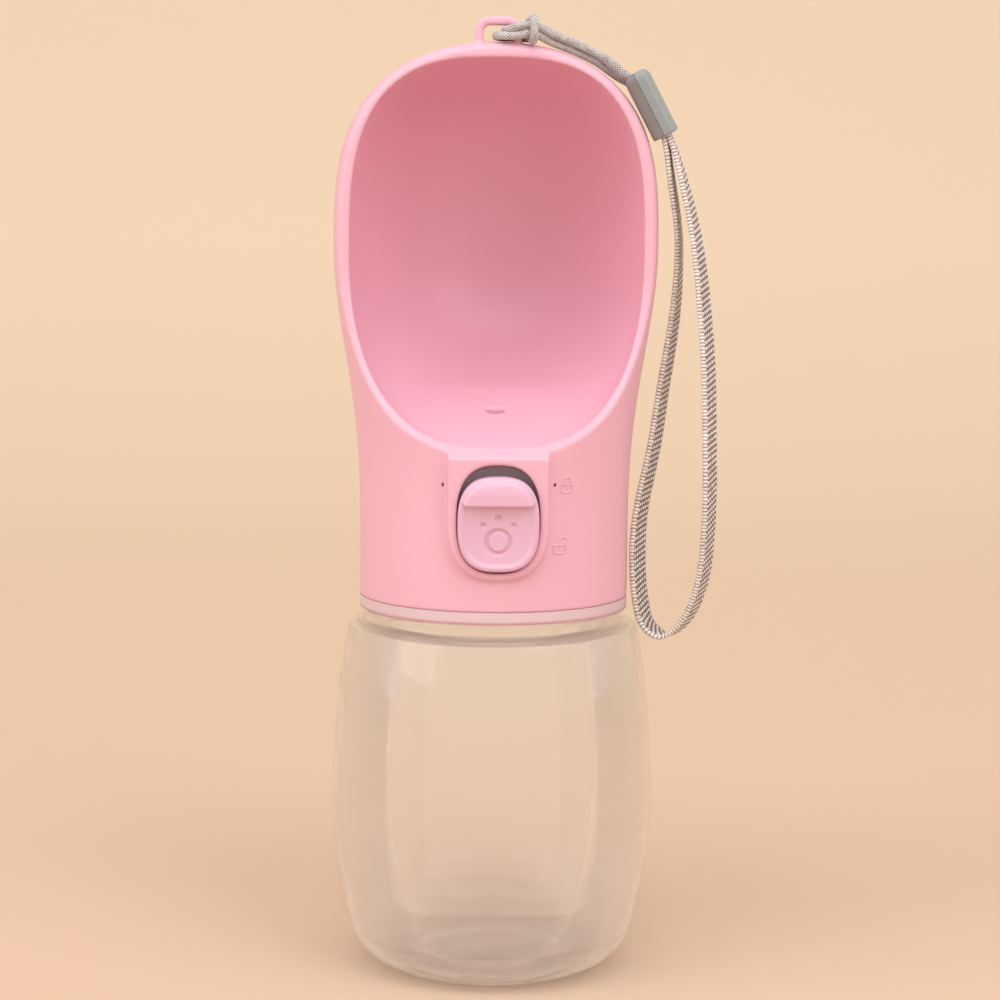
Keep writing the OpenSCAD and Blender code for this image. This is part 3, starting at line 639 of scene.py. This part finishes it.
SKIRT_Z = 84.4
SKIRT_R = 30.0
FLARE_Z = 96.0
BELLY_Z = 162.0
BELLY_R = 36.0
DOME_Z = 206.6
RIM_Y = -9.0
RIM_R = 48.0
RIM_MID_Z = 158.0
CUP_W = 32.3
LIP_Z = 119.8
CUP_MID_Z = 161.0
CUP_TOP_Z = 202.9
CUP_BACK = 33.8
FLOOR_SLOPE = math.radians(15)
FLOOR_R = 26.0
LIP_Y = RIM_Y - RIM_R + math.sqrt(RIM_R ** 2 - (RIM_MID_Z - LIP_Z) ** 2)
ARC_Y = CUP_BACK - FLOOR_R
ARC_Z = LIP_Z + (ARC_Y - LIP_Y) * math.tan(FLOOR_SLOPE) + FLOOR_R / math.cos(FLOOR_SLOPE)
BEND_Z = ARC_Z - FLOOR_R * math.cos(FLOOR_SLOPE)
WALL = 1.8
FRAME_Y = -31.0
POCKET_Y = -28.6
POCKET_D = 7.0
POCKET_HALF_W = 9.6
POCKET_HALF_H = 12.7
WINDOW_Z = 104.6
WINDOW_W = 17.8
WINDOW_H = 23.2
WINDOW_POWER = 2.6
PANEL_W = 21.7
PANEL_LOW = 91.4
OUTLET_Y = -5.0
OUTLET_R = 2.0
LUG_Y = -6.0


def side_radius(z):
    """Radius of the head's outside from the skirt up to its widest place."""
    t = np.clip((z - FLARE_Z) / (BELLY_Z - FLARE_Z), 0, 1)
    return SKIRT_R + (BELLY_R - SKIRT_R) * (0.5 - 0.5 * np.cos(np.pi * t ** 1.4))


def outer_distance(x, y, z):
    """Distance from the head's turned outside."""
    r = np.hypot(x, y)
    low = r - side_radius(z)
    up = np.maximum(z - BELLY_Z, 0) / (DOME_Z - BELLY_Z)
    out = r / BELLY_R
    value = out ** 2.2 + up ** 3 - 1
    slope = np.hypot(2.2 / BELLY_R * out ** 1.2, 3 / (DOME_Z - BELLY_Z) * up ** 2)
    high = value / np.maximum(slope, 0.02)
    return np.where(z < BELLY_Z, low, high)


def rim_depth(z):
    """Depth of the rim in front of the axis."""
    below = np.clip(RIM_MID_Z - z, 0, RIM_R - 0.5)
    return RIM_Y - RIM_R + np.sqrt(RIM_R ** 2 - below ** 2)


def before_rim(y, z):
    """Positive in front of the rim, where nothing is left."""
    return RIM_R - np.hypot(np.maximum(y, -90) - (RIM_Y - RIM_R),
                            np.minimum(z, RIM_MID_Z) - RIM_MID_Z)


def mouth_half(z):
    """Half the width of the cup's mouth at a height."""
    low = np.clip((CUP_MID_Z - z) / (CUP_MID_Z - LIP_Z), 0, 1)
    high = np.clip((z - CUP_MID_Z) / (CUP_TOP_Z - CUP_MID_Z), 0, 1)
    return CUP_W * np.where(z < CUP_MID_Z, 1 - low ** 2.25, 1 - high ** 3) ** (1 / 2.8)


def back_depth(z):
    """Depth of the cup's floor and back wall in its middle."""
    slope = LIP_Y + (z - LIP_Z) / math.tan(FLOOR_SLOPE)
    arc = ARC_Y + np.sqrt(np.maximum(FLOOR_R ** 2 - (ARC_Z - np.clip(z, BEND_Z, ARC_Z)) ** 2, 0))
    top = RIM_Y + (CUP_BACK - RIM_Y) * mouth_half(z) / CUP_W
    return np.select([z < BEND_Z, z < ARC_Z, z < BELLY_Z], [slope, arc, CUP_BACK], top)


def cup_level(points):
    """Below 1 in the cup's hollow. It has no scale of length."""
    x, y, z = points.T
    inside_z = np.clip(z, LIP_Z + 0.02, CUP_TOP_Z - 0.02)
    half = np.maximum(mouth_half(inside_z), 0.5)
    start = rim_depth(inside_z) + 0.4
    deep = np.maximum(back_depth(inside_z) - start, 0.3)
    level = (np.abs(x) / half) ** 2.3 + (np.maximum(y - start, 0) / deep) ** 2.3
    return level ** (1 / 2.3)


def cup_distance(points):
    """Distance from the cup's hollow."""
    level = cup_level(points)
    slope = np.linalg.norm(gradient(cup_level, points, 0.05), axis=1)
    side = np.clip((level - 1) / np.maximum(slope, 0.01), -20, 20)
    z = points[:, 2]
    return np.maximum(side, np.maximum(LIP_Z - z, z - CUP_TOP_Z))


def superellipse_distance(x, z, half_w, half_h, power):
    """Distance from the outline of a superellipse round the middle."""
    u = np.abs(x) / half_w
    v = np.abs(z) / half_h
    size = np.maximum((u ** power + v ** power) ** (1 / power), 1e-3)
    slope = np.hypot((u / size) ** (power - 1) / half_w, (v / size) ** (power - 1) / half_h)
    return (size - 1) / slope


def window_distance(x, z, half_w, half_h):
    return superellipse_distance(x, z - WINDOW_Z, half_w, half_h, WINDOW_POWER)


def panel_distance(x, z):
    """Distance from the outline of the raised panel round the window: straight sides above
    the window's middle and half a superellipse below it."""
    return window_distance(x, np.minimum(z, WINDOW_Z), PANEL_W / 2, WINDOW_Z - PANEL_LOW)


def floor_ceiling(y):
    """Height of the hollow's ceiling under the cup's sloping floor."""
    return LIP_Z + (np.clip(y, -26, 30) - LIP_Y) * math.tan(FLOOR_SLOPE) - 2.6


def lug_distance(x, y, z):
    """Distance from the arch that the lanyard is hitched to."""
    half_w, top, corner, wall = 5.15, 211.8, 3.4, 1.9

    def outline(inset):
        dx = np.abs(x) - (half_w - corner)
        dz = np.abs(z - (top - 7)) - (7 - corner)
        return (np.hypot(np.maximum(dx, 0), np.maximum(dz, 0)) + np.minimum(np.maximum(dx, dz), 0)
                - corner + inset)
    bar = rounded_max(outline(0), -outline(wall), 0.7)
    return rounded_max(bar, np.abs(y - LUG_Y) - 1.5, 0.7)


def head_field(points):
    """The head shell: body, panel and lug, less the cup, the inside, the window and the outlet."""
    x, y, z = points.T
    body = outer_distance(x, y, z)
    panel = rounded_max(panel_distance(x, z), np.maximum(FRAME_Y - y, y + 22), 0.9)
    panel = np.maximum(panel, z - 140)
    solid = rounded_min(body, panel, 0.9)
    solid = rounded_min(solid, lug_distance(x, y, z), 0.5)
    solid = rounded_max(solid, SKIRT_Z - z, 0.35)
    soft = 0.5 + 1.3 * np.clip((z - 130) / 60, 0, 1)
    front = before_rim(y, z)
    lug_zone = np.clip(z - 204.5, 0, 20)
    solid = np.where(lug_zone > 1.4, solid, rounded_max(solid, front, np.minimum(soft, 1.8)))
    solid = rounded_max(solid, -cup_distance(points), 0.45)
    void = np.maximum(np.maximum(body + WALL, z - floor_ceiling(y)), 80 - z)
    pocket = np.maximum(window_distance(x, z, POCKET_HALF_W, POCKET_HALF_H),
                        np.abs(y - (POCKET_Y + POCKET_D / 2)) - POCKET_D / 2)
    void = np.minimum(void, pocket)
    solid = rounded_max(solid, -void, 0.1)
    hole = np.maximum(window_distance(x, z, WINDOW_W / 2, WINDOW_H / 2), y + 25)
    solid = rounded_max(solid, -hole, 0.35)
    outlet = np.maximum(np.hypot(x, y - OUTLET_Y) - OUTLET_R, np.maximum(z - 140, 100 - z))
    return rounded_max(solid, -outlet, 0.4)


HEAD_STEP = 0.45
head_points, head_quads = isosurface(head_field, (-37.5, -37.5, 83.3), (37.5, 37.5, 213), HEAD_STEP)
head = mesh_piece("head_shell_skin", head_points, head_quads, pink_plastic)
dress(head, "head", "pink_plastic", "head_shell")

# ---------------------------------------------------------------- marks on the skirt


def on_skirt(x, z):
    """Points on the skirt's face at these places across and up."""
    return np.stack([x, -np.sqrt(side_radius(z) ** 2 - x ** 2), z], axis=1)


def bead(name, outline, radius):
    """A fine raised line along an outline of (across, up) on the skirt."""
    outline = np.asarray(outline, float)
    run = np.concatenate([[0], np.cumsum(np.linalg.norm(np.diff(outline, axis=0), axis=1))])
    even = np.linspace(0, run[-1], int(run[-1] / 0.08) + 2)
    centre = on_skirt(np.interp(even, run, outline[:, 0]), np.interp(even, run, outline[:, 1]))
    along = directions(centre)
    out = centre * (1, 1, 0)
    out /= np.linalg.norm(out, axis=1, keepdims=True)
    side = np.cross(along, out)
    angle = np.arange(8) * 2 * np.pi / 8
    ring = (np.cos(angle)[None, :, None] * side[:, None]
            + np.sin(angle)[None, :, None] * out[:, None])
    taper = np.clip(np.minimum(even, run[-1] - even) / 0.1, 0.15, 1)[:, None, None]
    piece = swept(name, centre, ring * radius * taper, np.zeros((1, 1, 1)),
                  np.ones((len(centre), 8)), pink_plastic)
    dress(piece, "head", "pink_plastic")


def arch(middle, half, low, high, turn=0.0):
    """A shackle: up one leg, round, and down the other, turned about its right foot."""
    bend = np.radians(np.linspace(180, 0, 13))
    points = np.concatenate([
        [[-half, low]], np.stack([half * np.cos(bend), high - half + half * np.sin(bend)], 1),
        [[half, low]]])
    lean = math.radians(turn)
    spin = np.array([[math.cos(lean), -math.sin(lean)], [math.sin(lean), math.cos(lean)]])
    return (points - (half, low)) @ spin.T + (middle + half, low)


def padlock(name, x, z, turn):
    """A small raised padlock. Its shackle is turned when it is open."""
    w, h, line = 1.2, 1.7, 0.2
    body = [(x - w, z), (x + w, z), (x + w, z + h), (x - w, z + h), (x - w, z)]
    bead(name + "_body", body, line)
    bead(name + "_shackle", arch(x, 0.72, z + h, z + h + 1.6, turn), line)
    bead(name + "_keyhole", [(x, z + 0.55), (x, z + 1.15)], 0.16)


def pinhole(name, x, z, dark):
    """A moulded pin hole: a fine raised rim round a flat dark disc, painted shade that stands for
    the hole.
    """
    around = np.radians(np.arange(0, 361, 24))
    bead(name + "_rim", np.stack([x + 0.34 * np.cos(around), z + 0.5 * np.sin(around)], 1), 0.08)
    middle = on_skirt(np.array([x]), np.array([z]))
    rim = on_skirt(x + 0.26 * np.cos(around[:-1]), z + 0.42 * np.sin(around[:-1]))
    out = middle * (1, 1, 0) / np.hypot(middle[0, 0], middle[0, 1])
    points = np.concatenate([middle, rim]) + 0.03 * out
    count = len(rim)
    fans = [(0, 1 + k, 1 + (k + 1) % count) for k in range(count)]
    hole = mesh_piece(name, points, fans, dark)
    dress(hole, "head", "pink_plastic")


padlock("lock_mark", 14.75, 110.0, 0)
padlock("open_mark", 13.3, 96.95, -38)
# Each hole is a flat disc of painted shade; the right one is painted darker.
pinhole("pinhole_left", -11.8, 111.8,
        moulded_plastic("pinhole shade", linear(122, 70, 74), 0.6))
pinhole("pinhole_right", 12.1, 111.8,
        moulded_plastic("pinhole shade right", linear(96, 50, 54), 0.6))

# ---------------------------------------------------------------- button

CAP_LOW = WINDOW_Z - 11.1
CAP_HIGH = WINDOW_Z + 9.2
CAP_MID = (CAP_LOW + CAP_HIGH) / 2
CAP_HALF_W = 8.7
CAP_POWER = 2.7
CAP_BACK_Y = POCKET_Y      # plane of the cap's back, just in front of the grey plate
PAD_Y = FRAME_Y - 1.6
DISH_R = 60.0
DISH_Y = PAD_Y - 59.3
DISH_Z = CAP_MID - 3.2
RIDGE_Z = CAP_HIGH - 3.0
PAW_Z = 99.9
PAW_RING_R = 2.45
TOES = ((-3.25, 103.5, 0.62), (0, 105.0, 0.8), (3.25, 103.5, 0.62))  # across, up, radius


def dish_depth(x, z):
    """Depth of the thumb pad's hollow."""
    return DISH_Y + np.sqrt(DISH_R ** 2 - (x * 0.9) ** 2 - (z - DISH_Z) ** 2)


def cap_field(points):
    """The button cap: a thumb pad with a finger ridge over it and a sunk paw."""
    x, y, z = points.T
    side = superellipse_distance(x, z - CAP_MID, CAP_HALF_W, (CAP_HIGH - CAP_LOW) / 2, CAP_POWER)
    solid = rounded_max(side, np.maximum(PAD_Y - y, y - CAP_BACK_Y), 0.7)
    dish = np.hypot(np.hypot(x * 0.9, z - DISH_Z), y - DISH_Y) - DISH_R
    inner = rounded_max(dish, side + 1.3, 0.6)
    solid = rounded_max(solid, -rounded_max(inner, z - (CAP_HIGH - 6.2), 0.4), 0.5)
    ridge_z = z - RIDGE_Z
    ridge_face = PAD_Y - 1.4 + 0.12 * np.maximum(ridge_z + 1, 0) ** 1.6
    ridge = np.maximum(np.abs(ridge_z) - 3.1, ridge_face - y)
    ridge = rounded_max(rounded_max(ridge, side + 0.6, 1.2), y - (PAD_Y + 2), 0.4)
    solid = rounded_min(solid, ridge, 0.5)
    for tx, tz, r in TOES:
        toe = np.hypot(np.hypot(x - tx, z - tz), (y - dish_depth(tx, tz)) * 1.3) - r
        solid = rounded_max(solid, -toe, 0.12)
    across = np.hypot(x, z - PAW_Z)
    ring = np.hypot(across - PAW_RING_R, y - dish_depth(0, PAW_Z) + 0.05) - 0.5
    return rounded_max(solid, -ring, 0.12)


cap_points, cap_quads = isosurface(cap_field, (-9.4, -35.2, 92.8), (9.4, -28, 114.6),
                                   0.2)
cap = mesh_piece("button_pad", cap_points, cap_quads, button_plastic)
dress(cap, "button", "deep_pink_plastic", "button_cap")

# ---------------------------------------------------------------- bottle

BOTTLE_BELLY_R = 36.2
BOTTLE_BELLY_Z = 38.0
UPPER_R = 212.0
LOWER_R = 105.0
FOOT_R = 12.0
SHOULDER_Z = 79.0
CORNER_R = 2.5
BOTTLE_WALL = 1.8
PUSH_UP = 3.4
PUSH_UP_R = 19.1
RING_R = 14.0


def arc(centre, radius, start, end, count):
    """Points of a circle between two bearings in degrees."""
    angles = np.radians(np.linspace(start, end, count))
    return np.asarray(centre) + radius * np.stack([np.cos(angles), np.sin(angles)], axis=1)


def bottle_side(inset):
    """The bottle's side from its foot up to its shoulder."""
    lower_x = BOTTLE_BELLY_R - LOWER_R
    upper_x = BOTTLE_BELLY_R - UPPER_R
    foot_drop = BOTTLE_BELLY_Z - FOOT_R
    foot_x = lower_x + math.sqrt((LOWER_R - FOOT_R) ** 2 - foot_drop ** 2)
    foot_a = math.degrees(math.atan2(foot_drop, foot_x - lower_x))
    top_z = SHOULDER_Z - CORNER_R
    top_rise = top_z - BOTTLE_BELLY_Z
    top_x = upper_x + math.sqrt((UPPER_R - CORNER_R) ** 2 - top_rise ** 2)
    top_a = math.degrees(math.atan2(top_rise, top_x - upper_x))
    return np.concatenate([
        arc((foot_x, FOOT_R), FOOT_R - inset, -90, -foot_a, 24),
        arc((lower_x, BOTTLE_BELLY_Z), LOWER_R - inset, -foot_a, 0, 14)[1:],
        arc((upper_x, BOTTLE_BELLY_Z), UPPER_R - inset, 0, top_a, 24)[1:],
        arc((top_x, top_z), CORNER_R - inset, top_a, 90, 14)[1:]])


def push_up(lift, out):
    """The dome under the bottle, from its middle out to that radius, with a ring moulded in."""
    r = np.linspace(0, out, 48)
    dome = PUSH_UP * np.cos(np.pi / 2 * (r / PUSH_UP_R) ** 2.2)
    ring = 0.35 / (1 + np.exp((r - RING_R) / 0.25))
    return np.stack([r, dome - ring + lift], axis=1)


def supported(profile, near=0.12):
    """The outline with a point close to each end of its long straight stretches, so that
    smooth shading stays flat on them."""
    points = [profile[0]]
    for end in profile[1:]:
        start = points[-1]
        length = np.linalg.norm(end - start)
        if length > 4 * near:
            points += [start + (end - start) * near / length, end - (end - start) * near / length]
        points.append(end)
    return np.array(points)


def bottle_profile():
    outside = np.concatenate([
        push_up(0, PUSH_UP_R)[:-1],
        arc((PUSH_UP_R + 0.4, 0.4), 0.4, 180, 270, 5),
        bottle_side(0),
        arc((29.6, 79.4), 0.4, -90, -180, 5),
        arc((28.6, 81.0), 0.5, 0, 90, 5),
        arc((26.1, 82.0), 0.5, -90, -180, 5),
        arc((25.1, 87.7), 0.5, 0, 90, 5)])
    inside = np.concatenate([
        push_up(BOTTLE_WALL, 16.0),
        bottle_side(BOTTLE_WALL),
        arc((24.4, 78.2), 1.0, 270, 180, 6),
        arc((23.9, 87.7), 0.5, 180, 90, 4)])
    return supported(np.concatenate([outside, inside[::-1]]))


bottle_points, bottle_quads = revolve(bottle_profile())
bottle = mesh_piece("bottle_clear", bottle_points, bottle_quads, clear)
dress(bottle, "bottle", "clear_plastic", "bottle")

# ---------------------------------------------------------------- CAD nodes that stay

KEPT = {
    "lock_plate": grey_plastic,
    "threaded_insert": insert_plastic,
    "neck_gasket": silicone,
    "inlet_gasket": silicone,
    "outlet_gasket": silicone,
    "valve_disc": silicone,
    "plug_oring": rubber,
    "piston_oring": rubber,
    "valve_body": white_plastic,
    "valve_plug": white_plastic,
    "plunger": white_plastic,
    "insert_screws": screw_steel,
    "valve_screws": screw_steel,
    "disc_screw": screw_steel,
}
for node, material in KEPT.items():
    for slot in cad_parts[node].material_slots:
        slot.material = material

# ---------------------------------------------------------------- return spring

SPRING_TURNS = 4
SPRING_WIRE = 0.8


def make_spring():
    """Coils of round wire, from the valve body to the plunger."""
    low, high = [np.asarray(corner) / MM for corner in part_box("return_spring")]
    axis_x, axis_z = (low[0] + high[0]) / 2, (low[2] + high[2]) / 2
    radius = (high[0] - low[0] - SPRING_WIRE) / 2
    turn = np.linspace(0, SPRING_TURNS, 36 * SPRING_TURNS + 1)
    angle = 2 * np.pi * turn
    ends = low[1] + SPRING_WIRE / 2, high[1] - SPRING_WIRE / 2
    place = np.interp(turn, [0, SPRING_TURNS], ends)
    centre = np.stack([axis_x + radius * np.cos(angle), place,
                       axis_z + radius * np.sin(angle)], axis=1)
    along = directions(centre)
    away = np.stack([np.cos(angle), 0 * angle, np.sin(angle)], 1)
    across = np.cross(along, away)
    to_end = np.minimum(turn, SPRING_TURNS - turn) * 2 * np.pi * radius
    inset = np.clip(1 - to_end / (SPRING_WIRE / 2), 0, 0.999)
    thick = SPRING_WIRE / 2 * np.sqrt(1 - inset ** 2)
    round_wire = np.arange(12) * 2 * np.pi / 12
    offsets = thick[:, None, None] * (np.cos(round_wire)[None, :, None] * away[:, None]
                                      + np.sin(round_wire)[None, :, None] * across[:, None])
    flat = np.zeros(offsets.shape[:2])
    piece = swept("spring_coils", centre, offsets, flat[..., None], flat, screw_steel)
    dress(piece, "head", "screw_steel", "return_spring")
    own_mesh(piece)


make_spring()

# ---------------------------------------------------------------- stage and light

BACKDROP = linear(240, 216, 188)
SHADED_FLOOR = linear(214, 184, 160)


FADE_START, FADE_END = 0.1, 1.1      # depths between which the floor's painted shade turns into the wall's colour


def make_stage():
    """A sheet that lies under the object and curves up behind it."""
    n = Nodes("backdrop")
    depth = n.add("ShaderNodeSeparateXYZ")
    n.put(depth.inputs["Vector"], n.place)
    wall = n.ramp(depth.outputs["Y"], FADE_START, FADE_END, 0, 1)
    # The floor's darker colour is painted shade on the same sheet as the wall.
    n.set(Base_Color=n.mix(wall, SHADED_FLOOR, BACKDROP), Roughness=0.9, Specular_IOR_Level=0.1)
    profile = [(-2.5, 0)] + [(0.9 * math.sin(a) + 0.6, 0.9 - 0.9 * math.cos(a))
                            for a in np.linspace(0, math.pi / 2, 16)] + [(1.5, 3)]
    points = [(x / MM, y / MM, z / MM) for y, z in profile for x in (-4, 4)]
    quads = [(2 * k, 2 * k + 1, 2 * k + 3, 2 * k + 2) for k in range(len(profile) - 1)]
    sweep = mesh_piece("backdrop", points, quads, n.material)


LAMPS_FACE = (0, 0, 0.09)


def soft_box(name, around, up, away, size, power):
    """A lamp at a bearing to the right of the camera's side and a height, in degrees, that
    faces the object."""
    data = bpy.data.lights.new(name, "AREA")
    data.shape = "RECTANGLE"
    data.size, data.size_y = size
    data.energy = power
    lamp = bpy.data.objects.new(name, data)
    bpy.context.scene.collection.objects.link(lamp)
    bearing, height = math.radians(around), math.radians(up)
    towards = Vector((math.sin(bearing) * math.cos(height), -math.cos(bearing) * math.cos(height),
                      math.sin(height)))
    lamp.location = Vector(LAMPS_FACE) + towards * away
    lamp.rotation_euler = towards.to_track_quat("Z", "Y").to_euler()


def make_light():
    world = bpy.data.worlds.new("world")
    bpy.context.scene.world = world
    world.use_nodes = True
    world.node_tree.nodes["Background"].inputs["Color"].default_value = (1.0, 0.99, 0.98, 1)
    world.node_tree.nodes["Background"].inputs["Strength"].default_value = 0.90
    soft_box("key", -62, 27, 1.05, (0.62, 0.95), 3.3)
    soft_box("fill", 43, 31, 1.05, (0.72, 0.70), 2.5)
    soft_box("sky", 0, 64, 0.95, (0.8, 0.5), 3.2)


make_stage()
make_light()
bpy.context.scene.view_settings.view_transform = "Standard"
